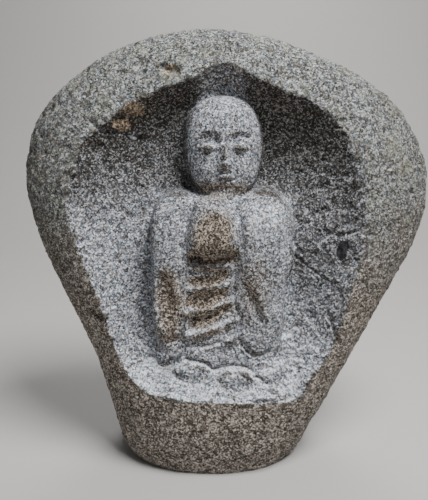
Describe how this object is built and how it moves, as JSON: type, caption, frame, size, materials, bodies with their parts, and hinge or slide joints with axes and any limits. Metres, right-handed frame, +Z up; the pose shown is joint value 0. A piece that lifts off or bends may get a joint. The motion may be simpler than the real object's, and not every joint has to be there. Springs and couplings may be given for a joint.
{
  "type": "stone jizo statue",
  "caption": "Small roadside jizo: a broad river stone, narrow at its foot, with a niche carved in its face and a standing monk in relief inside it, palms joined, on a lotus seat.",
  "frame": {"origin": "on the ground, under the middle of the stone's overall box", "axes": "+Z up; the carved face looks along -Y; +X is to the right as a viewer faces the carving"},
  "size_m": [0.2772, 0.1144, 0.3],
  "materials": {
    "granite": "coarse speckled grey stone, pecked by hand inside the niche, weathered and slightly stained outside"
  },
  "bodies": {
    "root": {"jizo_stone": "granite"}
  },
  "joints": []
}
